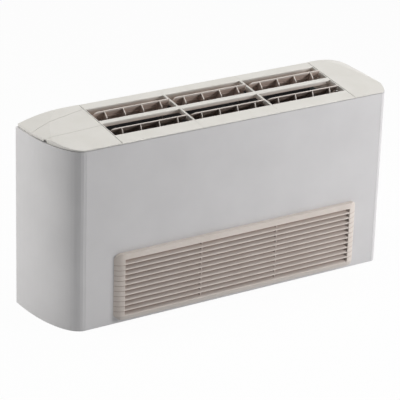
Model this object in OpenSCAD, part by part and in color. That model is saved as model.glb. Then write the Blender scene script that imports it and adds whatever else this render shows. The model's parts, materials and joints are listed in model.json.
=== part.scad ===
// Floor standing fan coil unit with a sloping discharge grille and a louvred intake.
// Working frame of the modules: x = 0 at the middle of the grille, y = 0 at the face
// of the front panel, z = 0 at the floor. stand() moves it to the middle of the footprint.

/* [Cabinet] */
// Depth from the front panel's face to the wall
depth = 225; // [220:1:240]
// Height of the front and side panels
panel_h = 483; // [478:1:520]
// Thickness of the cabinet sheet
sheet = 1.5; // [1:0.1:2]
// Width of the left end, beside the grille
left_end = 176; // [170:1:190]
// Width of the right end, beside the grille
right_end = 129; // [125:1:150]
// How far the left side bows out past the flat front
left_reach = 77; // [60:1:90]
// How far the right side bows out past the flat front
right_reach = 46; // [40:1:60]
// Straight part of the left side next to the wall
left_back = 20; // [20:1:45]
// Straight part of the right side next to the wall
right_back = 75; // [25:1:105]
// Width of the folded edges of the sheets
fold = 14; // [10:1:18]

/* [Top] */
// Length of one discharge grille module
module_l = 230; // [220:1:240]
// Rise of the top from front to rear
top_rise = 23; // [18:0.5:26]
// Shadow gap between the panels and the top
seam_gap = 1.4; // [0.8:0.1:2]
// Height of the top's front lip
lip_h = 2.6; // [2.2:0.1:4]
// Gap between an end cap and the grille
cap_gap = 1.5; // [1.5:0.1:2]
// Wall of the moulded top parts
mould = 2.5; // [2:0.1:3]
// How far a cap's side edge stands in from the side panel
cap_inset = 6; // [4:0.5:8]
// Flat run of the left cap before its dome starts
left_run = 40; // [30:1:60]
// Radius of the left cap's dome
left_dome = 430; // [420:10:700]
// Flat run of the right cap before its dome starts
right_run = 25; // [20:1:40]
// Radius of the right cap's dome
right_dome = 215; // [210:5:300]

/* [Discharge grille] */
// Width of the front rail
front_rail = 44; // [40:1:46]
// Width of the middle rail
mid_rail = 14; // [12:0.5:18]
// Width of the rear rail
rear_rail = 30; // [26:0.5:34]
// Depth of the grille's walls
rail_h = 12; // [10:0.5:16]
// Depth of the wall behind the rear slot
rear_wall_h = 26; // [22:1:30]

/* [Deflectors] */
// Forward lean of the front row's blades from upright
front_lean = 40; // [32:1:44]
// Forward lean of the rear row's blades from upright
rear_lean = 18; // [12:1:25]
// Angle between a blade and its cross fins
lean = 25; // [15:1:35]
// Length of a blade above its pivot
blade_up = 20; // [17:0.5:22]
// Length of a blade below its pivot
blade_down = 22; // [18:0.5:24]
// Thickness of blades and fins
blade_t = 2; // [1.6:0.1:2.4]
// Depth of the pivot below the top surface
pivot_drop = 11; // [10:0.5:12]
// Radius of the pivot pins
pivot_r = 2; // [1.5:0.1:2.2]
// Number of cross fins on a deflector
fins = 4; // [3:1:5]
// Spacing of the cross fins
fin_pitch = 53; // [45:1:54]
// Reach of the fins in front of the pivot
fin_reach = 22; // [18:0.5:24]

/* [Intake grille] */
// How much shorter the louvred opening is than the grille above it
intake_side = 13; // [5:1:50]
// Height of the louvred opening
intake_h = 156; // [150:1:160]
// Height of the opening's lower edge above the floor
intake_z = 22; // [22:0.5:26]
// Number of louvres
louvres = 10; // [8:1:11]
// How far the grille stands proud of the front panel
proud = 14; // [12:0.5:15]
// Width of the grille's top strip
strip = 15; // [14:0.5:17]
// Length of the grille's ends that curve back to the panel
bow = 28; // [24:1:32]
// Radius of the grille's corners
grille_corner = 18; // [12:1:22]
// Reach of the grille's hinge bar in front of the panel
bar_reach = 8; // [7:0.5:9]
// Radius of the hinge pins
hinge_pin_r = 1.5; // [1.2:0.1:1.8]
// Thickness of the filter's frame
filter_t = 8; // [6:0.5:10]

/* [Control well] */
// Distance of the flap's front edge from the wall, beside the grille
flap_far = 121; // [115:1:125]
// Distance of the flap's rear edge from the wall, beside the grille
flap_near = 26; // [22:1:35]
// Distance of the flap's rear edge from the wall, at the rim
flap_near_rim = 73; // [35:1:80]
// Distance of the flap's front edge from the wall, at the rim
flap_far_rim = 133; // [121:1:140]
// Depth of the well's floor below the top
well_depth = 30; // [28:1:34]
// Radius of the thermostat knob
knob_r = 15; // [13:0.5:17]
// Height of the knobs
knob_h = 12; // [9:0.5:13]
// Radius of the knob spindles
spindle_r = 3; // [2.5:0.1:3.5]

/* [Fan] */
// Height of the fan axis
fan_z = 112; // [108:0.5:114]
// Distance of the fan axis behind the front panel
fan_y = 112; // [110:0.5:114]
// Outer radius of the impellers
wheel_r = 58; // [50:1:60]
// Radial depth of the impeller blades
wheel_blade = 11; // [9:0.5:13]
// Length of an impeller
wheel_l = 190; // [170:1:196]
// Number of impeller blades
wheel_blades = 28; // [20:1:32]
// Room between an impeller's outer end and the end of the core
wheel_side = 51.5; // [46:0.5:54]
// Radius of the fan shaft
shaft_r = 6; // [5:0.5:7]
// Radius of the motor
motor_r = 46; // [40:1:50]
// Length of the motor
motor_l = 110; // [90:1:120]
// Thickness of the inner sheet parts
plate = 1.5; // [1.2:0.1:2]

/* [Coil] */
// How much shorter the fin block is than the core
coil_side = 73; // [69:1:110]
// Height left below and above the fin block
coil_rest = 291; // [283:1:303]
// Thickness of the fin block
coil_t = 66; // [60:1:70]
// Backward lean of the fin block
coil_lean = 18; // [14:1:20]
// Spacing of the fins
coil_pitch = 10; // [8:0.5:20]
// Radius of the coil tubes
tube_r = 5; // [4:0.1:5.5]
// Tubes in a row
coil_tubes_n = 8; // [6:1:8]
// Radius of the headers
header_r = 11; // [10:0.5:12]
// Radius of the threaded water connections
union_r = 9.5; // [9:0.1:10]
// Radius of the drain spout
spout_r = 8; // [7:0.5:9]

/* [Wall fixing] */
// Radius of the wall fixing holes
wall_hole_r = 4.5; // [3.5:0.5:6]
// Spacing of the wall fixing holes across the unit
wall_hole_x = 560; // [480:5:600]
// Spacing of the wall fixing holes in height
wall_hole_z = 330; // [280:5:340]

/* [Fits] */
// Radial clearance of pins and spindles in their bores
run = 0.05; // [0.03:0.01:0.08]
// Gap between neighbouring parts
gap = 0.3; // [0.2:0.05:0.5]

/* [Hidden] */
$fn = 48;
modules = 3;
core_w = modules * module_l + 2 * cap_gap;
left_flat = core_w / 2 + left_end - left_reach;
right_flat = core_w / 2 + right_end - right_reach;
hinge_bar_r = (bar_reach - gap) / 2;
top_front = panel_h + seam_gap + lip_h;
tilt = atan(top_rise / depth);
top_l = depth / cos(tilt);
slot_w = (top_l - front_rail - mid_rail - rear_rail) / 2;
left_sweep = depth - left_back;
right_sweep = depth - right_back;
flap_front = depth - flap_far;
flap_rear = depth - flap_near;
flap_rear_rim = depth - flap_near_rim;
flap_front_rim = depth - flap_far_rim;
intake_l = core_w - intake_side;
wheel_x = core_w / 2 - wheel_side - wheel_l / 2;
coil_l = core_w - coil_side;
coil_h = panel_h - coil_rest;
curve_steps = 18;
off_white = [0.86, 0.855, 0.84];
cool_white = [0.82, 0.82, 0.825];
warm_beige = [0.82, 0.78, 0.75];
zinc = [0.68, 0.70, 0.71];
dark = [0.16, 0.16, 0.17];
copper = [0.72, 0.45, 0.30];
brass_tone = [0.78, 0.63, 0.32];

// Moves the working frame to the middle of the footprint
module stand() {
  translate([(left_end - right_end) / 2, -(depth - proud) / 2, 0]) children();
}

// Moves to the sloping top surface: y runs up the slope and z stands square on it
module on_top() {
  translate([0, 0, top_front]) rotate([tilt, 0, 0]) children();
}

// Turns a profile drawn in y and z into a bar along x
module along_x(from, to) {
  translate([from, 0, 0]) rotate([90, 0, 90]) linear_extrude(to - from) children();
}

// Turns a profile drawn in x and z into a bar along y
module along_y(from, to) {
  translate([0, to, 0]) rotate([90, 0, 0]) linear_extrude(to - from) children();
}

// Plan of a cabinet end on the +x side, between inner and the bowed side
function end_points(inner, flat, reach, sweep, front, back) = concat(
  [[inner, front]],
  [for (i = [0:curve_steps])
    [flat + reach * sin(90 * i / curve_steps), front + (sweep - front) * (1 - cos(90 * i / curve_steps))]],
  [[flat + reach, back], [inner, back]]
);

module end_plan(inner, flat, reach, sweep, front = 0, back = depth) {
  polygon(end_points(inner, flat, reach, sweep, front, back));
}

// Front panel: folded sheet with the intake cut-out and the grille's hinge lugs
cut_side = gap + 4;
cut_l = intake_l + 2 * cut_side;
cut_bottom = intake_z - 7;
cut_top = intake_z + intake_h + 9;
hinge_y = -(bar_reach + gap) / 2;
hinge_z = intake_z - 9;
lug_t = 3;
lug_x = intake_l / 2 - 30;

module hinge_lug() {
  difference() {
    along_x(-lug_t / 2, lug_t / 2) union() {
      translate([hinge_y, hinge_z]) circle(hinge_bar_r - 0.6);
      translate([hinge_y, hinge_z - hinge_bar_r + 0.6]) square([-hinge_y, 2 * hinge_bar_r - 1.2]);
    }
    along_x(-lug_t, lug_t) translate([hinge_y, hinge_z]) circle(hinge_pin_r + run);
  }
}

module front_panel() color(cool_white) stand() {
  difference() {
    translate([-left_flat + gap, 0, 0]) cube([left_flat + right_flat - 2 * gap, sheet, panel_h]);
    translate([-cut_l / 2, -sheet, cut_bottom]) cube([cut_l, 3 * sheet, cut_top - cut_bottom]);
  }
  for (z = [0, panel_h - sheet])
    translate([-left_flat + gap, 0, z]) cube([left_flat + right_flat - 2 * gap, fold, sheet]);
  for (x = [-left_flat + gap, right_flat - gap - sheet])
    translate([x, 0, 0]) cube([sheet, fold, panel_h]);
  for (x = [-lug_x, lug_x]) translate([x, 0, 0]) hinge_lug();
}

// Side panels: bowed sheet with folded top, foot and rear edges
module side_panel(flat, reach, sweep) {
  linear_extrude(panel_h) difference() {
    end_plan(flat, flat, reach, sweep);
    end_plan(flat - 1, flat, reach - sheet, sweep, sheet, depth + 1);
  }
  for (z = [0, panel_h - sheet]) translate([0, 0, z]) linear_extrude(sheet) difference() {
    end_plan(flat, flat, reach, sweep);
    end_plan(flat - 1, flat, reach - fold, sweep, fold, depth + 1);
  }
  translate([flat + reach - fold, depth - sheet, 0]) cube([fold, sheet, panel_h]);
  translate([flat, 0, 0]) cube([sheet, fold, panel_h]);
}

module side_panel_left() color(cool_white) stand() mirror([1, 0, 0])
  side_panel(left_flat, left_reach, left_sweep);

module side_panel_right() color(cool_white) stand()
  side_panel(right_flat, right_reach, right_sweep);

// End caps: domed shells over a recessed skirt that drops inside the panels
cap_z = panel_h + seam_gap;
cap_in = core_w / 2;
dome_depth = 80;
skirt_h = 10;
skirt_t = 2;

// Space under a cap's top: below the sloping plane and below a dome that falls to the side
module dome(start, radius, wall) {
  intersection() {
    on_top() translate([cap_in - 1, -dome_depth, -dome_depth])
      cube([start + 2 * dome_depth + 1, depth + 2 * dome_depth, dome_depth - wall]);
    along_y(-1, depth + 1) translate([0, top_front + top_rise]) union() {
      translate([cap_in - 1, -dome_depth]) square([start + 1, dome_depth - wall]);
      intersection() {
        translate([cap_in + start, -radius]) circle(radius - wall, $fn = 360);
        translate([cap_in + start, -dome_depth]) square([2 * dome_depth, dome_depth]);
      }
    }
  }
}

module cap_shell(flat, reach, sweep, start, radius) {
  difference() {
    intersection() {
      translate([0, 0, cap_z]) linear_extrude(60) end_plan(cap_in, flat, reach - cap_inset, sweep);
      dome(start, radius, 0);
    }
    intersection() {
      translate([0, 0, cap_z - 1]) linear_extrude(60)
        end_plan(cap_in + mould, flat, reach - cap_inset - mould, sweep, mould, depth - mould);
      dome(start, radius, mould);
    }
  }
}

// Skirt that seats a cap inside the panels, from the fold up into the shell
module cap_skirt(flat, reach, sweep) {
  seat = fold + gap;
  translate([0, 0, panel_h - skirt_h]) linear_extrude(skirt_h + seam_gap + lip_h - mould + 0.6) difference() {
    end_plan(cap_in, flat, reach - seat, sweep, seat, depth - sheet - gap);
    end_plan(cap_in - 1, flat, reach - seat - skirt_t, sweep, seat + skirt_t, depth - sheet - gap - skirt_t);
  }
}

// Ledge that carries the cap on the panels' top folds
module cap_ledge(flat, reach, sweep) {
  translate([0, 0, panel_h]) linear_extrude(seam_gap + 0.2) difference() {
    end_plan(cap_in, flat, reach - cap_inset - 1, sweep, cap_inset, depth - 4);
    end_plan(cap_in - 1, flat, reach - fold - gap - skirt_t, sweep, fold + gap + skirt_t, depth - sheet - gap - skirt_t);
  }
}

module end_cap_right() color(off_white) stand() {
  cap_shell(right_flat, right_reach, right_sweep, right_run, right_dome);
  cap_skirt(right_flat, right_reach, right_sweep);
  cap_ledge(right_flat, right_reach, right_sweep);
}

// Control well of the left cap, in the frame of the top and on its +x side before mirroring
flap_gap = 0.9;
barrel_r = 3;
trunnion_r = 1.6;
trunnion_l = 5;
well_wall = 2;
well_in = cap_in + 9;
well_out = cap_in + 145;
well_front = flap_front - 4;
well_rear = flap_rear + 4;
barrel_x = cap_in + barrel_r;
notch_r = 6;
notch_y = flap_front_rim + notch_r + 2;
notch_x = left_flat + (left_reach - cap_inset) * sqrt(1 - pow(1 - notch_y / left_sweep, 2));

// Height of the left dome's surface at a distance from the grille's middle
function dome_z(x) = top_front + top_rise - left_dome + sqrt(pow(left_dome, 2) - pow(max(0, x - cap_in - left_run), 2));

// Slab in the flap's outline: its edges draw together towards the rim
module flap_slab(margin) {
  out = cap_in + left_end;
  on_top() translate([0, 0, -60]) linear_extrude(80) polygon([
    [cap_in - 1, flap_front + margin], [cap_in + 3 * barrel_r, flap_front + margin], [out, flap_front_rim + margin],
    [out, flap_rear_rim - margin], [cap_in + 3 * barrel_r, flap_rear - margin], [cap_in - 1, flap_rear - margin]
  ]);
}

module well_tray() {
  on_top() difference() {
    translate([well_in, well_front - well_wall, -well_depth])
      cube([well_out - well_in, well_rear - well_front + 2 * well_wall, well_depth - mould]);
    translate([well_in + well_wall, well_front, -well_depth + well_wall])
      cube([well_out - well_in - 2 * well_wall, well_rear - well_front, well_depth]);
    translate([well_in - 1, well_front, -mould - 2 * barrel_r]) cube([20, well_rear - well_front, well_depth]);
  }
}

// Space above the well's outer wall, which the closed flap needs
module flap_room() {
  translate([well_out - 2 * well_wall, 0, dome_z(well_out) - mould - gap]) cube([left_end, depth, dome_depth]);
}

module left_shell() {
  cap_shell(left_flat, left_reach, left_sweep, left_run, left_dome);
}

// Blocks on both sides of the flap that hold its trunnions
module trunnion_block(from, to) {
  on_top() translate([cap_in, from, -mould - 2 * barrel_r]) cube([3 * barrel_r + 1, to - from, 2 * barrel_r + mould - 0.4]);
}

module end_cap_left() color(off_white) stand() mirror([1, 0, 0]) difference() {
  union() {
    difference() {
      union() {
        left_shell();
        cap_ledge(left_flat, left_reach, left_sweep);
      }
      flap_slab(0);
    }
    cap_skirt(left_flat, left_reach, left_sweep);
    difference() {
      intersection() {
        dome(left_run, left_dome, 1);
        well_tray();
      }
      flap_room();
    }
    trunnion_block(well_front - trunnion_l, flap_front);
    trunnion_block(flap_rear, well_rear + trunnion_l);
  }
  on_top() along_y(well_front - trunnion_l - 1, well_rear + trunnion_l + 1)
    translate([barrel_x, -barrel_r]) circle(trunnion_r + run);
}

// Flap: the piece of the left shell over the well, with its hinge barrel and trunnions
module control_flap() color(off_white) stand() mirror([1, 0, 0]) {
  difference() {
    union() {
      intersection() {
        left_shell();
        flap_slab(flap_gap);
      }
      on_top() along_y(flap_front + flap_gap, flap_rear - flap_gap) translate([barrel_x, -barrel_r]) circle(barrel_r);
      on_top() along_y(flap_front - trunnion_l, flap_rear + trunnion_l) translate([barrel_x, -barrel_r]) circle(trunnion_r);
    }
    // Finger notch in the flap's rim, at its front corner
    translate([notch_x, notch_y, cap_z]) sphere(r = notch_r);
    // The inner edge is the barrel alone, so nothing stands behind the hinge line
    on_top() translate([cap_in - 1, flap_front - 10, -60]) cube([barrel_r + 1, flap_rear - flap_front + 20, 60 - 2 * barrel_r]);
  }
}

// Discharge grille modules: three rails tied by end walls that carry the deflectors' pivots
slot_front_y = front_rail;
slot_rear_y = front_rail + slot_w + mid_rail;
rear_rail_y = slot_rear_y + slot_w;
wall_t = 2.5;
wall_front = fold + 3;
pivot_lead = 3;
pivot_y = [slot_front_y + slot_w / 2 + pivot_lead, slot_rear_y + slot_w / 2 + pivot_lead];
round_r = 3;
inset = 0.2;

// A rail's channel section: top and two walls, with its upper front edge rounded
module channel(from, to, front_h, rear_h) {
  difference() {
    union() {
      translate([from + round_r, -max(front_h, rear_h)]) square([to - from - round_r, max(front_h, rear_h)]);
      translate([from, -max(front_h, rear_h)]) square([round_r + 0.01, max(front_h, rear_h) - round_r]);
      translate([from + round_r, -round_r]) circle(round_r);
    }
    translate([from + mould, -60]) square([to - from - 2 * mould, 60 - mould]);
    translate([from - 1, -60]) square([mould + 1.01, 60 - front_h]);
    translate([to - mould - 0.01, -60]) square([mould + 1.01, 60 - rear_h]);
  }
}

module grille_wall() {
  difference() {
    union() {
      translate([wall_front, -rail_h]) square([top_l - 8 - wall_front, rail_h - 0.4]);
      for (y = pivot_y) translate([y, -pivot_drop]) circle(2.6 * pivot_r);
    }
    for (y = pivot_y) translate([y, -pivot_drop]) circle(pivot_r + run);
  }
}

module grille_module(i) {
  x0 = -modules * module_l / 2 + i * module_l + gap / 2;
  x1 = x0 + module_l - gap;
  on_top() {
    along_x(x0, x1) channel(0, front_rail, lip_h, rail_h);
    along_x(x0, x1) channel(slot_front_y + slot_w, slot_rear_y, rail_h - 1, rail_h - 1);
    along_x(x0, x1) channel(rear_rail_y, top_l - 1, rear_wall_h, mould);
    along_x(x0 + inset, x0 + wall_t) grille_wall();
    along_x(x1 - wall_t, x1 - inset) grille_wall();
  }
  // Feet on the front panel's top fold and on the back panel's
  translate([x0 + 2 * inset, 4, panel_h]) cube([x1 - x0 - 4 * inset, 2, seam_gap + lip_h - 1]);
  translate([x0 + 2 * inset, depth - mould, panel_h])
    cube([x1 - x0 - 4 * inset, mould, top_rise + seam_gap + lip_h - mould / 2]);
}

module discharge_grille_left() color(off_white) stand() grille_module(0);
module discharge_grille_center() color(off_white) stand() grille_module(1);
module discharge_grille_right() color(off_white) stand() grille_module(2);

// Comb deflector: a leaning blade with rounded upper corners, cross fins and pivot pins.
// The two rows are the same piece, set at their own angles
blade_l = module_l - gap - 2 * wall_t - 6;
left_corner = 11;
right_corner = 4;
hub_r = 3.4;
hub_l = 12;

module blade_outline() {
  translate([-blade_l / 2, -blade_down]) square([blade_l, blade_down + blade_up - left_corner]);
  translate([-blade_l / 2 + left_corner, 0]) square([blade_l - left_corner - right_corner, blade_up]);
  square([blade_l / 2, blade_up - right_corner]);
  translate([-blade_l / 2 + left_corner, blade_up - left_corner]) circle(left_corner);
  translate([blade_l / 2 - right_corner, blade_up - right_corner]) circle(right_corner);
}

module fin_outline() {
  foot = blade_down * 0.7;
  polygon([
    [-(blade_up - 1) * sin(lean), (blade_up - 1) * cos(lean)],
    [-fin_reach, fin_reach * 0.2],
    [-fin_reach, -fin_reach * 0.65],
    [foot * sin(lean), -foot * cos(lean)]
  ]);
}

module deflector(i, row) {
  x = (i - (modules - 1) / 2) * module_l;
  pin_end = module_l / 2 - gap / 2 - 0.2;
  set = (row == 0 ? front_lean : rear_lean) - lean;
  on_top() translate([x, pivot_y[row], -pivot_drop]) rotate([set, 0, 0]) {
    rotate([lean, 0, 0]) rotate([90, 0, 0]) linear_extrude(blade_t, center = true) blade_outline();
    for (k = [0:fins - 1]) translate([(k - (fins - 1) / 2) * fin_pitch, 0, 0])
      along_x(-blade_t / 2, blade_t / 2) fin_outline();
    along_x(-pin_end, pin_end) circle(pivot_r);
    for (s = [-1, 1]) translate([s * (blade_l / 2 - hub_l / 2 - 2 * inset), 0, 0]) along_x(-hub_l / 2, hub_l / 2) circle(hub_r);
  }
}

module deflector_front_left() color(off_white) stand() deflector(0, 0);
module deflector_front_center() color(off_white) stand() deflector(1, 0);
module deflector_front_right() color(off_white) stand() deflector(2, 0);
module deflector_rear_left() color(off_white) stand() deflector(0, 1);
module deflector_rear_center() color(off_white) stand() deflector(1, 1);
module deflector_rear_right() color(off_white) stand() deflector(2, 1);

// Intake grille: proud frame with ends that curve back, leaning louvres and a hinge bar at its foot
strip_top = intake_z + intake_h + strip;
grille_h = strip_top - hinge_z;
face_half = intake_l / 2 - 2;
grille_half = face_half + bow;
face_r = (pow(bow, 2) + pow(proud, 2)) / (2 * proud);
louvre_pitch = intake_h / (louvres + 1);
louvre_rise = 11;
louvre_edge = 2.6;
louvre_back = 3;
rim_t = 3.5;
rim_back = 4;
mullion_w = 6;
rib_w = 1.2;
rib_depth = 0.8;

module intake_front() {
  translate([grille_corner - grille_half, hinge_z]) square([2 * (grille_half - grille_corner), grille_h]);
  translate([-grille_half, hinge_z + grille_corner]) square([2 * grille_half, grille_h - 2 * grille_corner]);
  for (s = [-1, 1], z = [grille_corner, grille_h - grille_corner])
    translate([s * (grille_half - grille_corner), hinge_z + z]) circle(grille_corner);
}

module intake_plan(groove = 0) {
  translate([-face_half, groove - proud]) square([2 * face_half, proud - gap - groove]);
  for (s = [0, 1]) mirror([s, 0]) intersection() {
    translate([face_half, face_r - proud]) circle(face_r - groove, $fn = 180);
    translate([face_half, -proud]) square([bow, proud - gap]);
  }
}

// Rib lines that carry the louvres' lines round the ends
module end_ribs() {
  for (s = [0, 1], k = [1:louvres]) mirror([s, 0, 0])
    translate([0, 0, intake_z + k * louvre_pitch - rib_w]) linear_extrude(rib_w) difference() {
      translate([intake_l / 2 + 3, -2 * proud]) square([2 * bow, 2 * proud - gap / 2]);
      intake_plan(rib_depth);
    }
}

module louvre() {
  polygon([
    [-proud + 0.5, 0], [-proud + 0.5, louvre_edge],
    [louvre_back, louvre_rise + louvre_edge], [louvre_back, louvre_rise + 1]
  ]);
}

module intake_grille() color(warm_beige) stand() difference() {
  union() {
    difference() {
      intersection() {
        along_y(-proud - 1, gap) intake_front();
        linear_extrude(2 * panel_h) intake_plan();
      }
      translate([-intake_l / 2, -2 * proud, intake_z]) cube([intake_l, 3 * proud, intake_h]);
    }
    for (k = [0:louvres]) along_x(-intake_l / 2 - 0.01, intake_l / 2 + 0.01)
      translate([0, intake_z + k * louvre_pitch - (k == 0 ? 0.5 : 0)]) louvre();
    for (s = [-1, 1]) translate([s * intake_l / 6 - mullion_w / 2, -gap, intake_z - 2])
      cube([mullion_w, rim_back + gap, intake_h + 4]);
    difference() {
      translate([-intake_l / 2 - rim_t, -gap - 1, intake_z - rim_t]) cube([intake_l + 2 * rim_t, rim_back + gap + 1, intake_h + 2 * rim_t]);
      translate([-intake_l / 2, -proud, intake_z]) cube([intake_l, 2 * proud, intake_h]);
    }
    along_x(grille_corner + 2 * inset - grille_half, grille_half - grille_corner - 2 * inset)
      translate([hinge_y, hinge_z]) circle(hinge_bar_r - inset);
  }
  end_ribs();
  for (x = [-lug_x, lug_x]) {
    translate([x - lug_t / 2 - 0.5, hinge_y - hinge_bar_r - 0.5, hinge_z - 2 * hinge_bar_r])
      cube([lug_t + 1, 2 * hinge_bar_r + 2, 3 * hinge_bar_r - 0.2]);
    along_x(x - 3 * lug_t, x + 3 * lug_t) translate([hinge_y, hinge_z]) circle(hinge_pin_r + run);
  }
}

module grille_hinge_pins() color(zinc) stand() for (x = [-lug_x, lug_x])
  along_x(x - 3 * lug_t + 0.2, x + 3 * lug_t - 0.2) translate([hinge_y, hinge_z]) circle(hinge_pin_r);

// Filter that lifts out with the grille: a frame with two bars and a mesh behind them
filter_y = rim_back + gap;
filter_border = 10;
filter_half = intake_l / 2 + 1;
filter_low = intake_z - 3;
filter_high = intake_z + intake_h + 4;
bar_t = 3;

module filter_frame() color(dark) stand() {
  difference() {
    translate([-filter_half, filter_y, filter_low]) cube([2 * filter_half, filter_t, filter_high - filter_low]);
    translate([-filter_half + filter_border, 0, filter_low + filter_border])
      cube([2 * (filter_half - filter_border), 4 * filter_t, filter_high - filter_low - 2 * filter_border]);
  }
  for (s = [-1, 1]) translate([s * intake_l / 6 - filter_border / 2, filter_y, filter_low + 1])
    cube([filter_border, bar_t, filter_high - filter_low - 2]);
}

module filter_mesh() color([0.25, 0.27, 0.28]) stand()
  translate([-filter_half + filter_border + gap, filter_y + bar_t, filter_low + filter_border + gap])
    cube([2 * (filter_half - filter_border - gap), 1.2, filter_high - filter_low - 2 * (filter_border + gap)]);

// Inner frame: back panel with wall fixing holes, two shoulders, fan deck and crossbar
frame_front = fold + 2 * gap + 1.4;
shoulder_x = core_w / 2 - 8;
shoulder_drop = 28;
deck_z = 205;
coil_foot = 34;
coil_z = deck_z + coil_foot + coil_h / 2;
deck_back = depth - plate - gap;
wall_low = 100;

module back_panel() color(zinc) stand() difference() {
  union() {
    translate([-core_w / 2, depth - plate, 0]) cube([core_w, plate, panel_h]);
    for (z = [0, panel_h - plate]) translate([-core_w / 2, depth - fold, z]) cube([core_w, fold, plate]);
  }
  for (x = [-1, 1], z = [0, 1]) along_y(depth - 2 * plate, depth + plate)
    translate([x * wall_hole_x / 2, wall_low + z * wall_hole_z]) circle(wall_hole_r);
}

module coil_frame() {
  translate([0, depth / 2, coil_z]) rotate([-coil_lean, 0, 0]) children();
}

module shoulder() {
  low = 2 * plate;
  high = panel_h - shoulder_drop;
  difference() {
    union() {
      translate([shoulder_x, frame_front, low]) cube([plate, deck_back - frame_front, high - low]);
      translate([shoulder_x - fold, frame_front, low]) cube([fold, plate, high - low]);
      translate([shoulder_x - fold, deck_back - plate, low]) cube([fold, plate, high - low]);
    }
    coil_frame() translate([shoulder_x - 2, -coil_t / 2 + 4, -coil_h / 2 + 4])
      cube([3 * plate + 2, coil_t - 8, coil_h - 8]);
    along_x(shoulder_x - 2, shoulder_x + 4) translate([pan_mid, spout_z]) circle(spout_r + 1);
  }
}

module shoulder_left() color(zinc) stand() mirror([1, 0, 0]) shoulder();
module shoulder_right() color(zinc) stand() shoulder();

// Fan scrolls: the wall's radius grows round the wheel up to the outlet under the deck
scroll_start = 55;
scroll_r0 = wheel_r + 4;
scroll_r1 = wheel_r + 26;
scroll_steps = 40;
scroll_l = wheel_l + 12;
inlet_r = wheel_r - 8;
flange = 12;

function scroll_points(extra) = concat(
  [for (i = [0:scroll_steps])
    let (a = scroll_start + (360 - scroll_start) * i / scroll_steps,
         r = scroll_r0 + (scroll_r1 - scroll_r0) * i / scroll_steps + extra)
    [fan_y + r * cos(a), fan_z + r * sin(a)]],
  [[fan_y + scroll_r1 + extra, deck_z], [fan_y + (scroll_r0 - extra) * cos(scroll_start), deck_z]]
);

neck_front = fan_y + (scroll_r0 - plate) * cos(scroll_start);
neck_back = fan_y + scroll_r1;

module fan_volute(x) {
  translate([x, 0, 0]) {
    along_x(-scroll_l / 2, scroll_l / 2) difference() {
      polygon(scroll_points(plate));
      polygon(scroll_points(0));
    }
    for (s = [-1, 1]) along_x(s * scroll_l / 2 - plate, s * scroll_l / 2 + plate) difference() {
      polygon(scroll_points(plate));
      translate([fan_y, fan_z]) circle(inlet_r);
    }
    for (s = [-1, 1]) difference() {
      translate([s * (scroll_l / 2 + flange / 2) - flange / 2, neck_front, deck_z - plate])
        cube([flange, neck_back - neck_front, plate]);
      screw_holes(s);
    }
  }
}

screw_r = 2;
screw_y = [neck_front + 12, neck_back - 12];

module screw_holes(s) {
  for (y = screw_y) translate([s * (scroll_l / 2 + flange * 0.6), y, deck_z - 3 * plate])
    cylinder(r = screw_r + 0.1, h = 6 * plate);
}

module fan_volute_left() color(zinc) stand() fan_volute(-wheel_x);
module fan_volute_right() color(zinc) stand() fan_volute(wheel_x);

module fan_deck() color(zinc) stand() {
  half = shoulder_x - gap;
  deck_front = frame_front + plate + gap;
  difference() {
    translate([-half, deck_front, deck_z]) cube([2 * half, deck_back - plate - gap - deck_front, plate]);
    for (x = [-wheel_x, wheel_x]) {
      translate([x - scroll_l / 2 + plate, neck_front + 2 * plate, deck_z - 1])
        cube([scroll_l - 2 * plate, neck_back - neck_front - 2 * plate, 3 * plate]);
      for (s = [-1, 1]) translate([x, 0, 0]) screw_holes(s);
    }
  }
  for (s = [-1, 1]) translate([s * (half - plate / 2) - plate / 2, frame_front + 3, deck_z - fold])
    cube([plate, deck_back - frame_front - 6, fold]);
}

module deck_screws() color(zinc) stand() for (x = [-wheel_x, wheel_x], s = [-1, 1], y = screw_y)
  translate([x + s * (scroll_l / 2 + flange * 0.6), y, deck_z + plate]) {
    cylinder(r = 2 * screw_r, h = 2);
    translate([0, 0, -3 * plate]) cylinder(r = screw_r, h = 3 * plate);
  }

module front_crossbar() color(zinc) stand() difference() {
  translate([-shoulder_x + fold + gap, frame_front, deck_z - fold - gap]) cube([2 * (shoulder_x - fold - gap), fold, fold]);
  translate([-shoulder_x, frame_front + plate, deck_z - fold - gap - 1])
    cube([2 * shoulder_x, fold, fold - plate + 1]);
}

// Rotor: shaft with two forward curved impellers
disc_t = 3;
hub_out = 14;
blade_sheet = 1;

module impeller(x) {
  translate([x, fan_y, fan_z]) difference() {
    union() {
      along_x(-wheel_l / 2, wheel_l / 2) for (k = [0:wheel_blades - 1]) rotate(k * 360 / wheel_blades)
        translate([wheel_r - wheel_blade / 2 - 1, 0]) rotate(30) square([wheel_blade, blade_sheet], center = true);
      for (e = [-wheel_l / 2, wheel_l / 2 - disc_t]) along_x(e, e + disc_t) difference() {
        circle(wheel_r);
        circle(wheel_r - wheel_blade - 1);
      }
      along_x(-disc_t / 2, disc_t / 2) circle(wheel_r - 1);
      along_x(-hub_out, hub_out) circle(hub_out);
    }
    along_x(-wheel_l, wheel_l) circle(shaft_r + run);
  }
}

module impeller_left() color(dark) stand() impeller(-wheel_x);
module impeller_right() color(dark) stand() impeller(wheel_x);

module fan_shaft() color(zinc) stand()
  along_x(-wheel_x - hub_out - 4, wheel_x + hub_out + 4) translate([fan_y, fan_z]) circle(shaft_r);

// Motor on a strap bracket under the deck
bearing_r = 12;
bearing_l = 10;
bell_l = 16;

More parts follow.
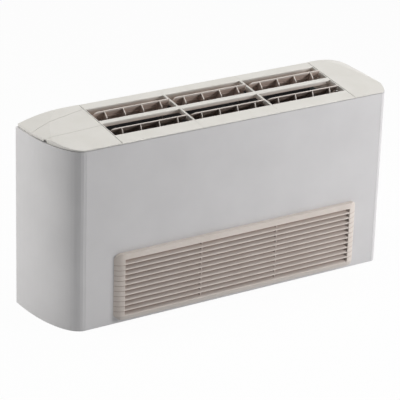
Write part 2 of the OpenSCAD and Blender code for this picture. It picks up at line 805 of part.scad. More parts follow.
module motor_housing() color(dark) stand() translate([0, fan_y, fan_z]) difference() {
  union() {
    along_x(-motor_l / 2 + bell_l, motor_l / 2 - bell_l) circle(motor_r);
    along_x(-motor_l / 2, motor_l / 2) circle(motor_r - 8);
    along_x(-motor_l / 2 - 6, motor_l / 2 + 6) circle(bearing_r + 6);
  }
  along_x(-motor_l, motor_l) circle(shaft_r + 1.5);
  for (s = [-1, 1]) translate([s * (motor_l / 2 + 6 - bearing_l / 2), 0, 0])
    along_x(-bearing_l / 2 - 0.1, bearing_l / 2 + 0.1) circle(bearing_r);
}

module motor_bearings() color(brass_tone) stand() for (s = [-1, 1])
  translate([s * (motor_l / 2 + 6 - bearing_l / 2), fan_y, fan_z])
    along_x(-bearing_l / 2, bearing_l / 2) difference() {
      circle(bearing_r);
      circle(shaft_r + run);
    }

strap_w = 18;
strap_t = 3;

module motor_bracket() color(zinc) stand() translate([0, fan_y, 0]) {
  strap_r = motor_r + gap + strap_t;
  for (x = [-motor_l / 4, motor_l / 4]) translate([x, 0, 0]) difference() {
    along_x(-strap_w / 2, strap_w / 2) union() {
      translate([0, fan_z]) circle(strap_r);
      translate([-strap_r, fan_z]) square([2 * strap_r, deck_z - fan_z]);
    }
    along_x(-strap_w, strap_w) union() {
      translate([0, fan_z]) circle(strap_r - strap_t);
      translate([-strap_r + strap_t, fan_z]) square([2 * (strap_r - strap_t), deck_z - fan_z - strap_t]);
    }
  }
}

// Coil: fin block on copper tubes, end plates, headers and water connections
row_y = coil_t / 4;
tube_pitch = coil_h / coil_tubes_n;
fin_t = 0.8;
fin_count = floor(coil_l / coil_pitch);
header_x = [core_w / 2 + 18, core_w / 2 + 46];
header_half = coil_h / 2 + 8;
branch_r = 8;
branch_t = coil_h / 2 + 14;
union_l = 22;
union_y = depth - union_l - 18;
socket_l = 8;

function tube_z(k) = (k - (coil_tubes_n - 1) / 2) * tube_pitch;
function row_place(row) = row == 0 ? -row_y : row_y;
// Where a header's branch leaves, in the working frame's y and z
function branch_yz(row) = let (s = row == 0 ? -1 : 1, y = row_place(row), z = s * branch_t)
  [depth / 2 + y * cos(coil_lean) + z * sin(coil_lean), coil_z - y * sin(coil_lean) + z * cos(coil_lean)];

module tube_pattern(r) {
  for (row = [0, 1], k = [0:coil_tubes_n - 1]) translate([row_place(row), tube_z(k)]) circle(r);
}

module coil_fins() color([0.75, 0.77, 0.79]) stand() coil_frame() for (i = [0:fin_count - 1])
  translate([(i - (fin_count - 1) / 2) * coil_pitch, 0, 0]) along_x(-fin_t / 2, fin_t / 2) difference() {
    square([coil_t, coil_h], center = true);
    tube_pattern(tube_r + 0.1);
  }

bend_x = coil_l / 2 + 6;

module coil_tubes() color(copper) stand() coil_frame() for (k = [0:coil_tubes_n - 1]) translate([0, 0, tube_z(k)]) {
  for (row = [0, 1]) along_x(-bend_x, header_x[row] - header_r - gap) translate([row_place(row), 0]) circle(tube_r);
  translate([-bend_x, 0, 0]) rotate([0, 0, 90]) rotate_extrude(angle = 180) translate([row_y, 0]) circle(tube_r);
}

module coil_end_plates() color(zinc) stand() coil_frame() for (s = [0, 1]) mirror([s, 0, 0]) {
  inner = coil_l / 2 + 1;
  reach = shoulder_x - inner - gap;
  along_x(inner, inner + plate) difference() {
    square([coil_t, coil_h + 2 * plate], center = true);
    tube_pattern(tube_r + 0.2);
  }
  for (z = [-coil_h / 2 - plate, coil_h / 2]) translate([inner, -coil_t / 2, z]) cube([reach, coil_t, plate]);
}

module coil_headers() color(copper) stand() for (row = [0, 1]) {
  s = row == 0 ? -1 : 1;
  at = branch_yz(row);
  coil_frame() translate([header_x[row], row_place(row), 0]) {
    translate([0, 0, -header_half]) cylinder(r = header_r, h = 2 * header_half);
    translate([0, 0, s > 0 ? 0 : -branch_t]) cylinder(r = branch_r, h = branch_t);
  }
  translate([header_x[row], at[0], at[1]]) sphere(r = branch_r);
  along_y(at[0], union_y) translate([header_x[row], at[1]]) circle(branch_r);
}

module water_unions() color(brass_tone) stand() for (row = [0, 1]) {
  at = branch_yz(row);
  translate([header_x[row], 0, at[1]]) {
    along_y(union_y, union_y + union_l) difference() {
      circle(r = union_r + 5, $fn = 6);
      circle(union_r);
    }
    along_y(union_y - socket_l, union_y) difference() {
      circle(r = union_r + 5, $fn = 6);
      circle(branch_r + 0.1);
    }
  }
}

module air_vent() color(brass_tone) stand() coil_frame() translate([header_x[0], row_place(0), header_half]) {
  cylinder(r = 7, h = 6, $fn = 6);
  cylinder(r = 4, h = 14);
  translate([0, 0, 14]) cylinder(r = 6, h = 5);
}

// Drain pan under the coil's lower edge, with its spout turned to the wall
pan_front = 40;
pan_back = 122;
pan_h = 25;
pan_half = shoulder_x - 6;
pan_mid = (pan_front + pan_back) / 2;
spout_z = deck_z + plate + spout_r + 2;
spout_x = core_w / 2 + 40;
spout_end = pan_mid + 80;
spout_l = 30;
pipe_r = spout_r - 1;
pipe_bore = pipe_r - 1.5;

module drain_pan() color(dark) stand() difference() {
  union() {
    difference() {
      translate([-pan_half, pan_front, deck_z + plate]) cube([2 * pan_half, pan_back - pan_front, pan_h]);
      translate([-pan_half + 2, pan_front + 2, deck_z + plate + 2])
        cube([2 * pan_half - 4, pan_back - pan_front - 4, pan_h]);
    }
    along_x(pan_half - 2, spout_x) translate([pan_mid, spout_z]) circle(pipe_r);
    along_y(pan_mid, spout_end - spout_l / 2) translate([spout_x, spout_z]) circle(pipe_r);
    along_y(spout_end - spout_l, spout_end) translate([spout_x, spout_z]) circle(spout_r);
    translate([spout_x, pan_mid, spout_z]) sphere(r = pipe_r);
  }
  along_x(pan_half - 4, spout_x) translate([pan_mid, spout_z]) circle(pipe_bore);
  along_y(pan_mid, spout_end + 1) translate([spout_x, spout_z]) circle(pipe_bore);
  translate([spout_x, pan_mid, spout_z]) sphere(r = pipe_bore);
}

// Control panel on the floor of the well, with two knobs and a rocker switch
panel_t = 3;
panel_z = -well_depth + well_wall;
well_y = (flap_front + flap_rear) / 2;
knob_x = [cap_in + 50, cap_in + 92];
speed_r = knob_r - 3;
switch_x = cap_in + 125;
switch_w = 11;
switch_l = 24;
rocker_half = 10;
rocker_crown = 4;
rocker_end = 2.5;
rocker_under = 0.4;
rocker_pin_r = 1;
rocker_pin_l = 3;
rocker_z = panel_z + panel_t / 2;

module control_panel() color([0.75, 0.75, 0.74]) stand() mirror([1, 0, 0]) on_top() difference() {
  translate([well_in + well_wall + gap, well_front + gap, panel_z])
    cube([well_out - well_in - 2 * well_wall - 2 * gap, well_rear - well_front - 2 * gap, panel_t]);
  for (x = knob_x) translate([x, well_y, panel_z - 1]) cylinder(r = spindle_r + run, h = panel_t + 2);
  translate([switch_x - switch_w / 2 - gap, well_y - switch_l / 2 - gap, panel_z - 1])
    cube([switch_w + 2 * gap, switch_l + 2 * gap, panel_t + 2]);
  translate([switch_x, well_y, rocker_z]) rocker_pins(rocker_pin_r + run, rocker_pin_l + gap);
}

// Knob with a tapered skirt, a grip bar and its spindle
module knob(x, r) {
  on_top() translate([x, well_y, panel_z + panel_t + gap]) {
    cylinder(r1 = r, r2 = r - 1.5, h = knob_h / 2);
    intersection() {
      cylinder(r = r - 1.5, h = knob_h);
      translate([-r, -r / 4, 0]) cube([2 * r, r / 2, knob_h]);
    }
    translate([0, 0, -panel_t - gap + 0.2]) cylinder(r = spindle_r, h = panel_t + gap);
  }
}

module thermostat_knob() color(off_white) stand() mirror([1, 0, 0]) knob(knob_x[0], knob_r);
module speed_knob() color(off_white) stand() mirror([1, 0, 0]) knob(knob_x[1], speed_r);

// Rocker: a paddle that tips on two pins in the walls of the panel's window
module rocker_pins(r, l) {
  along_x(-switch_w / 2 - l, switch_w / 2 + l) circle(r);
}

module season_switch() color(dark) stand() mirror([1, 0, 0]) on_top() translate([switch_x, well_y, rocker_z]) {
  along_x(-switch_w / 2, switch_w / 2) polygon([
    [-rocker_half, -rocker_under], [-rocker_half, rocker_end], [0, rocker_crown],
    [rocker_half, rocker_end], [rocker_half, -rocker_under]
  ]);
  rocker_pins(rocker_pin_r, rocker_pin_l);
}

// Control box on the left shoulder, with its cover and contents
box_x = shoulder_x + plate + gap;
box_w = 96;
box_front = 72;
box_l = 116;
box_low = 285;
box_h = 130;
box_wall = 1.5;

module control_box() color(zinc) stand() mirror([1, 0, 0]) difference() {
  translate([box_x, box_front, box_low]) cube([box_w, box_l, box_h]);
  translate([box_x + box_wall, box_front + box_wall, box_low + box_wall])
    cube([box_w, box_l - 2 * box_wall, box_h - 2 * box_wall]);
  translate([box_x + box_w / 2, box_front + box_l / 2, box_low - 1]) cylinder(r = gland_r + 0.1, h = 3 * box_wall);
}

module control_box_cover() color(zinc) stand() mirror([1, 0, 0]) {
  translate([box_x + box_w, box_front, box_low]) cube([box_wall, box_l, box_h]);
  for (y = [box_front + 12, box_front + box_l - 12])
    translate([box_x + box_w + box_wall, y, box_low + box_h / 2]) rotate([0, 90, 0]) cylinder(r = 4, h = 2);
}

block_l = 80;
block_ways = 6;

module terminal_block() color([0.88, 0.88, 0.85]) stand() mirror([1, 0, 0]) difference() {
  translate([box_x + box_wall, box_front + (box_l - block_l) / 2, box_low + 70]) cube([22, block_l, 26]);
  for (k = [0:block_ways - 1]) translate([box_x + box_wall + 8,
      box_front + (box_l - block_l) / 2 + (k + 0.5) * block_l / block_ways, box_low + 83]) {
    rotate([0, 90, 0]) cylinder(r = 3.5, h = 30);
    translate([5, 0, -20]) cylinder(r = 2.5, h = 40);
  }
}

module run_capacitor() color([0.8, 0.8, 0.78]) stand() mirror([1, 0, 0])
  translate([box_x + box_wall + 16, box_front + 20, box_low + 30]) rotate([-90, 0, 0]) {
    cylinder(r = 16, h = 56);
    translate([0, 0, 56]) cylinder(r = 5, h = 10);
  }

gland_r = 9;

module cable_gland() color(dark) stand() mirror([1, 0, 0])
  translate([box_x + box_w / 2, box_front + box_l / 2, box_low]) difference() {
    union() {
      translate([0, 0, -5]) cylinder(r = gland_r + 4, h = 5, $fn = 6);
      translate([0, 0, -18]) cylinder(r1 = gland_r, r2 = gland_r + 2, h = 13);
      cylinder(r = gland_r, h = 10);
    }
    translate([0, 0, -19]) cylinder(r = gland_r - 4, h = 40);
  }

front_panel();
side_panel_left();
side_panel_right();
end_cap_left();
end_cap_right();
control_flap();
discharge_grille_left();
discharge_grille_center();
discharge_grille_right();
deflector_front_left();
deflector_front_center();
deflector_front_right();
deflector_rear_left();
deflector_rear_center();
deflector_rear_right();
intake_grille();
grille_hinge_pins();
filter_frame();
filter_mesh();
back_panel();
shoulder_left();
shoulder_right();
fan_deck();
front_crossbar();
fan_volute_left();
fan_volute_right();
impeller_left();
impeller_right();
fan_shaft();
motor_housing();
motor_bearings();
motor_bracket();
deck_screws();
coil_fins();
coil_tubes();
coil_end_plates();
coil_headers();
water_unions();
air_vent();
drain_pan();
control_panel();
thermostat_knob();
speed_knob();
season_switch();
control_box();
control_box_cover();
terminal_block();
run_capacitor();
cable_gland();
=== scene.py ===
import json
import math

import bmesh
import bpy
from mathutils import Matrix, Vector


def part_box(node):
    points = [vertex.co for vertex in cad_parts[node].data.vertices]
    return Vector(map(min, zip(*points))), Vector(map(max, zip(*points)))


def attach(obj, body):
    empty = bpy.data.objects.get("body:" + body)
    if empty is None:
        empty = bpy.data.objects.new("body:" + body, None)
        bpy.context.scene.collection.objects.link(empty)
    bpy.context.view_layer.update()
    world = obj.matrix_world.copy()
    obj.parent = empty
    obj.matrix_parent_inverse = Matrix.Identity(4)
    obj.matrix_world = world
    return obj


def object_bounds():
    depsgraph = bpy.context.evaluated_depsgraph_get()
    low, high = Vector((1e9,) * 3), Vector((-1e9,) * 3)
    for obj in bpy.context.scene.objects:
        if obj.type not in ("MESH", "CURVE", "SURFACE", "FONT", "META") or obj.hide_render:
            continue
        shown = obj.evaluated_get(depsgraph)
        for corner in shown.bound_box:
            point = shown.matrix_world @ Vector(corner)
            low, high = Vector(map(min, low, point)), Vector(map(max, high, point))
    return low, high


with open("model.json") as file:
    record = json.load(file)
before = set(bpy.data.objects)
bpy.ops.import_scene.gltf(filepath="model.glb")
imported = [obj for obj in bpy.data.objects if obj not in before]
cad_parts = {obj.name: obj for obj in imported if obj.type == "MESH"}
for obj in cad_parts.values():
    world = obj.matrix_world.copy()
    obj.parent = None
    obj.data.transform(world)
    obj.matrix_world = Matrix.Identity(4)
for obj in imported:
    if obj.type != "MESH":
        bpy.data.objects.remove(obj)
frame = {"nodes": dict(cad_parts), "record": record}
cad_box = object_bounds()
scene = bpy.context.scene
nodes = frame["nodes"]

# sizes of the cabinet that looks and camera need, in metres
DEPTH, TOP_FRONT, TOP_RISE = 0.225, 0.487, 0.023
TILT = math.atan(TOP_RISE / DEPTH)
FACE_Y = cad_box[1][1] - DEPTH

# features per metre: crystals of the zinc sheet, and the wave scale of the filter's threads
CRYSTALS, THREADS = 70, 110


def linear(r, g, b):
    """A colour written as it looks on screen, 0 to 255, as the shader needs it."""
    out = []
    for c in (r, g, b):
        c = c / 255
        out.append(c / 12.92 if c <= 0.04045 else ((c + 0.055) / 1.055) ** 2.4)
    return (*out, 1.0)


class Material:
    """A node material around one main shader, with short calls for what most of them need."""

    def __init__(self, name, colour, rough, metal=0.0):
        self.data = bpy.data.materials.new(name)
        self.data.use_nodes = True
        self.nodes = self.data.node_tree.nodes
        self.links = self.data.node_tree.links
        self.shader = self.nodes["Principled BSDF"]
        self.shader.inputs["Base Color"].default_value = colour
        self.shader.inputs["Roughness"].default_value = rough
        self.shader.inputs["Metallic"].default_value = metal
        self.colour = colour
        self.place = self.nodes.new("ShaderNodeTexCoord").outputs["Object"]
        self.normal = None

    def noise(self, scale, detail=3.0, stretch=None, distort=0.0):
        """Cloudy noise, scale in features per metre; stretch scales each axis."""
        node = self.nodes.new("ShaderNodeTexNoise")
        node.inputs["Scale"].default_value = scale
        node.inputs["Detail"].default_value = detail
        node.inputs["Distortion"].default_value = distort
        source = self.place
        if stretch:
            mapping = self.nodes.new("ShaderNodeMapping")
            mapping.inputs["Scale"].default_value = stretch
            self.links.new(source, mapping.inputs["Vector"])
            source = mapping.outputs["Vector"]
        self.links.new(source, node.inputs["Vector"])
        return node.outputs["Fac"]

    def along(self, way, origin, step=None):
        """Distance from origin along a direction, in metres; with a step, it starts again after each."""
        node = self.nodes.new("ShaderNodeVectorMath")
        node.operation = "SUBTRACT"
        node.inputs[1].default_value = origin
        self.links.new(self.place, node.inputs[0])
        dot = self.nodes.new("ShaderNodeVectorMath")
        dot.operation = "DOT_PRODUCT"
        dot.inputs[1].default_value = way
        self.links.new(node.outputs[0], dot.inputs[0])
        if step is None:
            return dot.outputs["Value"]
        rest = self.nodes.new("ShaderNodeMath")
        rest.operation = "FLOORED_MODULO"
        rest.inputs[1].default_value = step
        self.links.new(dot.outputs["Value"], rest.inputs[0])
        return rest.outputs[0]

    def ramp(self, fac, low, high):
        """A number from 0 to 1 as fac goes from low to high."""
        node = self.nodes.new("ShaderNodeMapRange")
        node.inputs["From Min"].default_value = low
        node.inputs["From Max"].default_value = high
        self.links.new(fac, node.inputs["Value"])
        return node.outputs["Result"]

    def both(self, facs):
        """The product of some numbers."""
        found = facs[0]
        for fac in facs[1:]:
            node = self.nodes.new("ShaderNodeMath")
            node.operation = "MULTIPLY"
            self.links.new(found, node.inputs[0])
            self.links.new(fac, node.inputs[1])
            found = node.outputs[0]
        return found

    def tint(self, fac, other):
        """Mixes the colour so far towards another by fac."""
        node = self.nodes.new("ShaderNodeMix")
        node.data_type = "RGBA"
        socket = self.shader.inputs["Base Color"]
        if socket.is_linked:
            self.links.new(socket.links[0].from_socket, node.inputs[6])
        else:
            node.inputs[6].default_value = self.colour
        node.inputs[7].default_value = other
        self.links.new(fac, node.inputs[0])
        self.links.new(node.outputs[2], socket)

    def gloss(self, fac, low, high):
        """Roughness from low to high by fac."""
        node = self.nodes.new("ShaderNodeMapRange")
        node.inputs["To Min"].default_value = low
        node.inputs["To Max"].default_value = high
        self.links.new(fac, node.inputs["Value"])
        self.links.new(node.outputs["Result"], self.shader.inputs["Roughness"])

    def bump(self, fac, height, strength=1.0):
        """Relief of that height in metres."""
        node = self.nodes.new("ShaderNodeBump")
        node.inputs["Strength"].default_value = strength
        node.inputs["Distance"].default_value = height
        self.links.new(fac, node.inputs["Height"])
        if self.normal is not None:
            self.links.new(self.normal, node.inputs["Normal"])
        self.normal = node.outputs["Normal"]
        self.links.new(self.normal, self.shader.inputs["Normal"])


def on_top(along, up):
    """A point of the sloping top: metres up the slope from its front edge, and square to it."""
    return (0, FACE_Y + along * math.cos(TILT) - up * math.sin(TILT),
            TOP_FRONT + along * math.sin(TILT) + up * math.cos(TILT))


def powder_coat(name, colour, other):
    """Fine orange peel of baked powder paint, with faint cloudiness."""
    m = Material(name, colour, 0.42)
    m.tint(m.ramp(m.noise(9, 4), 0.35, 0.7), other)
    m.gloss(m.noise(60, 3), 0.36, 0.50)
    m.bump(m.noise(900, 2), 0.00022, 0.35)
    return m.data


def moulded(name, colour, other, rough=0.45, grain=1600, painted_shades=()):
    """Satin moulded plastic: fine spark grain, faint flow clouds and painted shade where given.
    Each of the painted shades is a colour, an origin, and for each direction the two distances between
    which it sets in, and the step after which it comes again, if it does."""
    m = Material(name, colour, rough)
    m.tint(m.ramp(m.noise(14, 4, distort=0.6), 0.38, 0.72), other)
    for shade, origin, *bounds in painted_shades:
        fades = [m.ramp(m.along(way, origin, *step), start, full) for way, start, full, *step in bounds]
        m.tint(m.both(fades), shade)
    m.gloss(m.noise(120, 3), rough - 0.06, rough + 0.08)
    m.bump(m.noise(grain, 2), 0.00015, 0.3)
    return m.data


def rolled(name, colour, other, rough, stretch, metal=1.0, scale=60):
    """Sheet or bar metal with lines along one way."""
    m = Material(name, colour, rough, metal)
    m.tint(m.ramp(m.noise(scale, 5, stretch), 0.35, 0.7), other)
    m.gloss(m.noise(scale * 2, 4, stretch), rough - 0.08, rough + 0.12)
    m.bump(m.noise(scale * 6, 3, stretch), 0.0001, 0.25)
    return m.data


def galvanised(name, colour, other):
    """Zinc spangle: flat crystals of slightly different grey."""
    m = Material(name, colour, 0.38, 0.85)
    cells = m.nodes.new("ShaderNodeTexVoronoi")
    cells.inputs["Scale"].default_value = CRYSTALS
    m.links.new(m.place, cells.inputs["Vector"])
    m.tint(m.ramp(cells.outputs["Color"], 0.1, 0.9), other)
    m.gloss(cells.outputs["Color"], 0.28, 0.5)
    m.bump(m.noise(500, 2), 0.0001, 0.2)
    return m.data


def woven(name, colour, other):
    """A net of crossing threads."""
    m = Material(name, colour, 0.85)
    waves = []
    for axis in ("X", "Z"):
        wave = m.nodes.new("ShaderNodeTexWave")
        wave.wave_type = "BANDS"
        wave.bands_direction = axis
        wave.inputs["Scale"].default_value = THREADS
        m.links.new(m.place, wave.inputs["Vector"])
        waves.append(wave.outputs["Fac"])
    top = m.nodes.new("ShaderNodeMath")
    top.operation = "MAXIMUM"
    m.links.new(waves[0], top.inputs[0])
    m.links.new(waves[1], top.inputs[1])
    m.tint(m.ramp(top.outputs[0], 0.5, 0.95), other)
    m.bump(top.outputs[0], 0.0006, 0.8)
    return m.data


# gaps between louvres, the opening's lower edge and length, and the louvres' spacing
LOUVRES, LOUVRE_LOW, LOUVRE_STEP, OPENING = 11, 0.022, 0.01418, 0.68
# the intake's plastic gets painted shade on its louvres behind their front edges, on its foot, and in the
# rib lines that run round its ends; end_l is the length of an end, rib the width of a line
low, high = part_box("intake_grille")
end_l, rib = 0.026, 0.0012
rows = LOUVRES * LOUVRE_STEP
intake_painted_shades = [
    (linear(168, 149, 140), (0, FACE_Y, LOUVRE_LOW), ((0, 1, 0), -0.013, -0.004),
     ((0, 0, -1), -rows - 0.001, -rows), ((1, 0, 0), low[0] + end_l, low[0] + end_l + 0.002),
     ((-1, 0, 0), end_l - high[0], end_l + 0.002 - high[0])),
    (linear(200, 193, 187), (0, 0, LOUVRE_LOW), ((0, 0, -1), -0.001, 0.001))]
for end, way in ((low, -1), (high, 1)):
    intake_painted_shades.append((
        linear(176, 158, 148), (end[0], 0, LOUVRE_LOW), ((way, 0, 0), -end_l - 0.001, -end_l),
        ((0, 0, 1), rib, 2 * rib), ((0, 0, -1), -rows + rib, -rows + 2 * rib),
        ((0, 0, 1), LOUVRE_STEP - 1.2 * rib, LOUVRE_STEP - 0.9 * rib, LOUVRE_STEP)))
looks = {
    "panel_paint": powder_coat("panel_paint", linear(212, 211, 212), linear(207, 206, 207)),
    "cap_plastic": moulded("cap_plastic", linear(224, 222, 217), linear(219, 217, 211)),
    "intake_plastic": moulded("intake_plastic", linear(219, 210, 203), linear(213, 203, 195), 0.5,
                              painted_shades=intake_painted_shades),
    "zinc_sheet": galvanised("zinc_sheet", linear(176, 180, 183), linear(162, 167, 171)),
    "steel": rolled("steel", linear(190, 191, 193), linear(160, 161, 164), 0.3, (1, 12, 12)),
    "fan_plastic": moulded("fan_plastic", linear(44, 44, 47), linear(36, 36, 39), 0.5),
    "motor_paint": powder_coat("motor_paint", linear(50, 51, 54), linear(42, 43, 46)),
    "fin_aluminium": rolled("fin_aluminium", linear(205, 208, 212), linear(180, 184, 190), 0.35, (6, 1, 1)),
    "copper_tube": rolled("copper_tube", linear(196, 122, 84), linear(150, 88, 62), 0.32, (1, 8, 8)),
    "brass_fitting": rolled("brass_fitting", linear(204, 170, 96), linear(170, 136, 72), 0.3, (8, 8, 1)),
    "filter_frame_plastic": moulded("filter_frame_plastic", linear(56, 56, 59), linear(48, 48, 51), 0.55),
    "filter_cloth": woven("filter_cloth", linear(46, 45, 46), linear(92, 88, 86)),
    "pan_plastic": moulded("pan_plastic", linear(60, 60, 62), linear(50, 50, 53), 0.55),
    "panel_plastic": moulded("panel_plastic", linear(196, 196, 193), linear(188, 188, 184), 0.5),
    "switch_plastic": moulded("switch_plastic", linear(40, 40, 43), linear(34, 34, 37), 0.22, 400),
    "terminal_plastic": moulded("terminal_plastic", linear(228, 228, 220), linear(218, 218, 208), 0.5),
    "capacitor_can": rolled("capacitor_can", linear(212, 212, 208), linear(190, 190, 187), 0.3, (1, 1, 10)),
}
# painted shade: the discharge grille's plastic darker down in its slots, and its deflectors below their
# upper edges
down = (0, math.sin(TILT), -math.cos(TILT))
forward = (0, -math.cos(TILT), -math.sin(TILT))
own_looks = {"discharge_grille": moulded(
    "grille_plastic", linear(224, 222, 217), linear(219, 217, 211),
    painted_shades=[(linear(224, 212, 202), on_top(0, 0), (down, 0.003, 0.012), (forward, -0.202, -0.2))])}
PIVOT_DROP, FIN_EDGE = 0.011, math.radians(42.5)
PIVOTS = {"front": 0.0815, "rear": 0.1645}
# painted shade below the deflectors' upper edges, darker for the front row deeper in its slot
for row, turned, shade in (("front", 15, linear(146, 130, 121)), ("rear", -7, linear(186, 167, 156))):
    lean = TILT + math.radians(turned) + FIN_EDGE
    edge = (0, math.sin(lean), -math.cos(lean))
    own_looks["deflector_" + row] = moulded(
        "deflector_plastic_" + row, linear(228, 221, 214), linear(222, 214, 207),
        painted_shades=[(shade, on_top(PIVOTS[row], -PIVOT_DROP), (edge, -0.0168, -0.0128))])
for part in frame["record"]["subparts"]:
    mesh = nodes[part["node"]].data
    mesh.materials.clear()
    family = part["node"].rsplit("_", 1)[0]
    mesh.materials.append(own_looks.get(family, looks[part["material_slot"]]))


def soften(name, width):
    """Rounds a CAD node's sharp edges with modifiers; its own mesh stays as it is."""
    node = nodes[name]
    weld = node.modifiers.new("weld", "WELD")
    weld.merge_threshold = 0.00002
    plain = node.modifiers.new("plain", "DECIMATE")
    plain.decimate_type = "DISSOLVE"
    plain.angle_limit = math.radians(0.4)
    bevel = node.modifiers.new("bevel", "BEVEL")
    bevel.width = width
    bevel.segments = 2
    bevel.limit_method = "ANGLE"
    bevel.angle_limit = math.radians(35)
    shade = node.modifiers.new("shade", "WEIGHTED_NORMAL")
    shade.keep_sharp = True


PLAIN_EDGE = 0.0004
soft_edges = {"end_cap_left": 0.0016, "end_cap_right": 0.0016, "control_flap": 0.001, "front_panel": 0.001,
              "intake_grille": 0.0006}
for name in nodes:
    if name not in ("coil_fins", "coil_tubes"):
        soften(name, soft_edges.get(name, PLAIN_EDGE))


def drawn_out(name, outline, way, look, body="cabinet"):
    """A moulded piece: an outline drawn out along a way, with soft edges."""
    shape = bmesh.new()
    face = shape.faces.new([shape.verts.new(v) for v in outline])
    grown = bmesh.ops.extrude_face_region(shape, geom=[face])["geom"]
    bmesh.ops.translate(shape, verts=[v for v in grown if isinstance(v, bmesh.types.BMVert)], vec=way)
    bmesh.ops.recalc_face_normals(shape, faces=shape.faces)
    data = bpy.data.meshes.new(name)
    shape.to_mesh(data)
    shape.free()
    data.materials.append(look)
    piece = bpy.data.objects.new(name, data)
    scene.collection.objects.link(piece)
    bevel = piece.modifiers.new("bevel", "BEVEL")
    bevel.width = 0.0003
    bevel.limit_method = "ANGLE"
    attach(piece, body)


SKIRT_T = 0.0019


def end_skirt(name, x):
    """Under an outer end wall of the grille, down past the shoulder's upper edge,
    and cut out round the bosses of the deflectors' pivots."""
    front, rear, wall, foot, boss = 0.046, 0.194, 0.0118, 0.450, 0.0062
    edge = [(front, -wall)]
    for pivot in PIVOTS.values():
        turns = [math.pi + k * math.pi / 8 for k in range(9)]
        edge += [(pivot + boss * math.cos(t), -wall + boss * math.sin(t)) for t in turns]
    edge.append((rear, -wall))
    outline = [Vector((x, *on_top(along, up)[1:])) for along, up in edge]
    outline += [Vector((x, FACE_Y + y, foot)) for y in (rear, front)]
    drawn_out(name, outline, (SKIRT_T, 0, 0), own_looks["discharge_grille"])


def rear_skirt(name, left, right):
    """Under the wall behind the rear slot, with a lip turned forward at its foot; its dark plastic is
    painted shade that keeps the front slot near black.
    """
    wall, drop, foot, lip = 0.1964, 0.0255, 0.436, 0.006
    y, top = on_top(wall, -drop)[1:]
    profile = [(y, top), (y + SKIRT_T, top), (y + SKIRT_T, foot), (y - lip, foot),
               (y - lip, foot + SKIRT_T), (y, foot + SKIRT_T)]
    drawn_out(name, [Vector((left, *point)) for point in profile], (right - left, 0, 0),
              looks["pan_plastic"])


for part in ("left", "center", "right"):
    low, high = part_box("discharge_grille_" + part)
    rear_skirt("grille_rear_skirt_" + part, low[0] + 0.0025, high[0] - 0.0025)
end_skirt("grille_end_skirt_left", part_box("discharge_grille_left")[0][0] + 0.0004)
end_skirt("grille_end_skirt_right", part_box("discharge_grille_right")[1][0] - 0.0023)

WEB_T, WEB_BACK = 0.0032, 0.001


def louvre_web(name, x):
    """A comb that ties the louvres together a little behind their front edges."""
    edge = []
    for k in range(LOUVRES):
        foot = LOUVRE_LOW + k * LOUVRE_STEP
        edge += [(-0.0062, foot + 0.0015), (-0.0088, foot + 0.006), (-0.0083, foot + 0.011)]
    edge += [(WEB_BACK, edge[-1][1]), (WEB_BACK, edge[0][1])]
    outline = [Vector((x - WEB_T / 2, FACE_Y + y, z)) for y, z in edge]
    drawn_out(name, outline, (WEB_T, 0, 0), looks["intake_plastic"], "intake")


low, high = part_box("intake_grille")
for side, sign in (("left", -1), ("right", 1)):
    louvre_web("louvre_web_" + side, (low[0] + high[0]) / 2 + sign * OPENING / 6)

# camera, fitted to the photograph's outline
IMAGE_PX, SENSOR = 400, 36
FOCAL_PX, YAW, PITCH, ROLL = 2183.0, 0.561, 0.411, 0.032
EYE = Vector((-2.7765, FACE_Y - 4.267, 2.487))
ahead = Vector((math.sin(YAW) * math.cos(PITCH), math.cos(YAW) * math.cos(PITCH), -math.sin(PITCH)))
level = Vector((math.cos(YAW), -math.sin(YAW), 0))
up = level.cross(ahead)
right_way = level * math.cos(ROLL) + up * math.sin(ROLL)
up_way = -level * math.sin(ROLL) + up * math.cos(ROLL)
camera = bpy.data.objects.new("camera", bpy.data.cameras.new("camera"))
scene.collection.objects.link(camera)
camera.matrix_world = Matrix.Translation(EYE) @ Matrix((right_way, up_way, -ahead)).transposed().to_4x4()
camera.data.sensor_width = SENSOR
camera.data.lens = FOCAL_PX / IMAGE_PX * SENSOR
camera.data.clip_end = 60
scene.camera = camera

# studio
scene.view_settings.view_transform = "Standard"
world = bpy.data.worlds.new("world")
scene.world = world
world.use_nodes = True
tree = world.node_tree
tree.nodes.clear()


def seen_rays(tree):
    """1 for the rays that show the background: from the camera, and off gloss or through glass."""
    path = tree.nodes.new("ShaderNodeLightPath")
    found = path.outputs["Is Camera Ray"]
    for kind in ("Is Glossy Ray", "Is Transmission Ray"):
        either = tree.nodes.new("ShaderNodeMath")
        either.operation = "MAXIMUM"
        tree.links.new(found, either.inputs[0])
        tree.links.new(path.outputs[kind], either.inputs[1])
        found = either.outputs[0]
    return found


white = tree.nodes.new("ShaderNodeBackground")
white.inputs["Color"].default_value = (1, 1, 1, 1)
soft = tree.nodes.new("ShaderNodeBackground")
soft.inputs["Color"].default_value = (0.93, 0.96, 1.0, 1)
soft.inputs["Strength"].default_value = 0.12
mix = tree.nodes.new("ShaderNodeMixShader")
out = tree.nodes.new("ShaderNodeOutputWorld")
tree.links.new(seen_rays(tree), mix.inputs[0])
tree.links.new(soft.outputs[0], mix.inputs[1])
tree.links.new(white.outputs[0], mix.inputs[2])
tree.links.new(mix.outputs[0], out.inputs["Surface"])


def lamp(name, where, target, size, power, colour):
    """A soft box that looks at a point."""
    data = bpy.data.lights.new(name, "AREA")
    data.shape = "RECTANGLE"
    data.size, data.size_y = size
    data.energy = power
    data.color = colour
    box = bpy.data.objects.new(name, data)
    scene.collection.objects.link(box)
    box.location = where
    box.rotation_euler = (Vector(target) - Vector(where)).to_track_quat("-Z", "Y").to_euler()


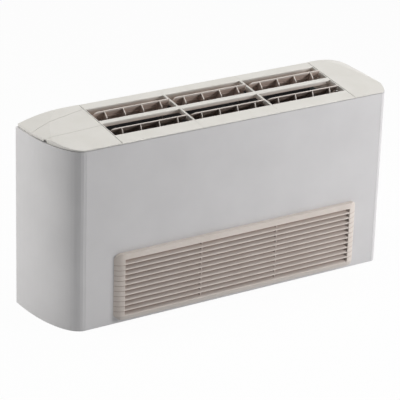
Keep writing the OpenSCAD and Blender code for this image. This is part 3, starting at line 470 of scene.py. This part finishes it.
lamp("top", (0.05, 0.1, 2.6), (0.1, 0, 0.5), (2.2, 1.6), 36.5, (1.0, 0.985, 0.96))
lamp("right", (2.3, -1.9, 1.0), (0.3, 0, 0.25), (1.2, 0.9), 55, (1.0, 0.99, 0.99))
lamp("left", (-2.4, 1.4, 0.7), (-0.4, 0, 0.3), (1.0, 1.2), 32, (1.0, 0.985, 0.96))

# floor
floor_mesh = bpy.data.meshes.new("floor")
FAR = 30
floor_mesh.from_pydata([(-FAR, -FAR, 0), (FAR, -FAR, 0), (FAR, FAR, 0), (-FAR, FAR, 0)], [], [(0, 1, 2, 3)])
floor = bpy.data.objects.new("floor", floor_mesh)
scene.collection.objects.link(floor)
floor.location.z = -0.0005
paper = Material("floor_paper", (0.86, 0.86, 0.86, 1), 0.9)
paper.tint(paper.ramp(paper.noise(3, 3), 0.3, 0.7), (0.85, 0.85, 0.85, 1))
glow = paper.nodes.new("ShaderNodeEmission")
glow.inputs["Color"].default_value = (1, 1, 1, 1)
kept = paper.nodes.new("ShaderNodeMixShader")


def inside_end(way, flat, reach, sweep):
    """1 on the floor within the side panel that bows out from the flat front, 0 past it."""
    corner = paper.nodes.new("ShaderNodeCombineXYZ")
    out_part = paper.ramp(paper.along((way, 0, 0), (flat, 0, 0)), 0, reach)
    front_part = paper.ramp(paper.along((0, -1, 0), (0, FACE_Y + sweep, 0)), 0, sweep)
    paper.links.new(out_part, corner.inputs["X"])
    paper.links.new(front_part, corner.inputs["Y"])
    far = paper.nodes.new("ShaderNodeVectorMath")
    far.operation = "LENGTH"
    paper.links.new(corner.outputs[0], far.inputs[0])
    return paper.ramp(far.outputs["Value"], 0.985, 0.975)


# under the cabinet the paper stays in the cabinet's own shade; a sweep is the depth of a side's curve
low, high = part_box("front_panel")
LEFT_SWEEP, RIGHT_SWEEP = 0.205, 0.15
WHITENESS = 0.96
inside = paper.both([
    inside_end(-1, low[0], low[0] - cad_box[0][0], LEFT_SWEEP),
    inside_end(1, high[0], cad_box[1][0] - high[0], RIGHT_SWEEP),
    paper.ramp(paper.along((0, 1, 0), (0, FACE_Y + DEPTH, 0)), -0.002, -0.004)])
share = paper.nodes.new("ShaderNodeMapRange")
share.inputs["To Min"].default_value = WHITENESS
share.inputs["To Max"].default_value = 0
paper.links.new(inside, share.inputs["Value"])
lit = paper.both([share.outputs["Result"], seen_rays(paper.data.node_tree)])
paper.links.new(lit, kept.inputs[0])
paper.links.new(paper.shader.outputs[0], kept.inputs[1])
paper.links.new(glow.outputs[0], kept.inputs[2])
paper.links.new(kept.outputs[0], paper.nodes["Material Output"].inputs["Surface"])
floor.data.materials.append(paper.data)
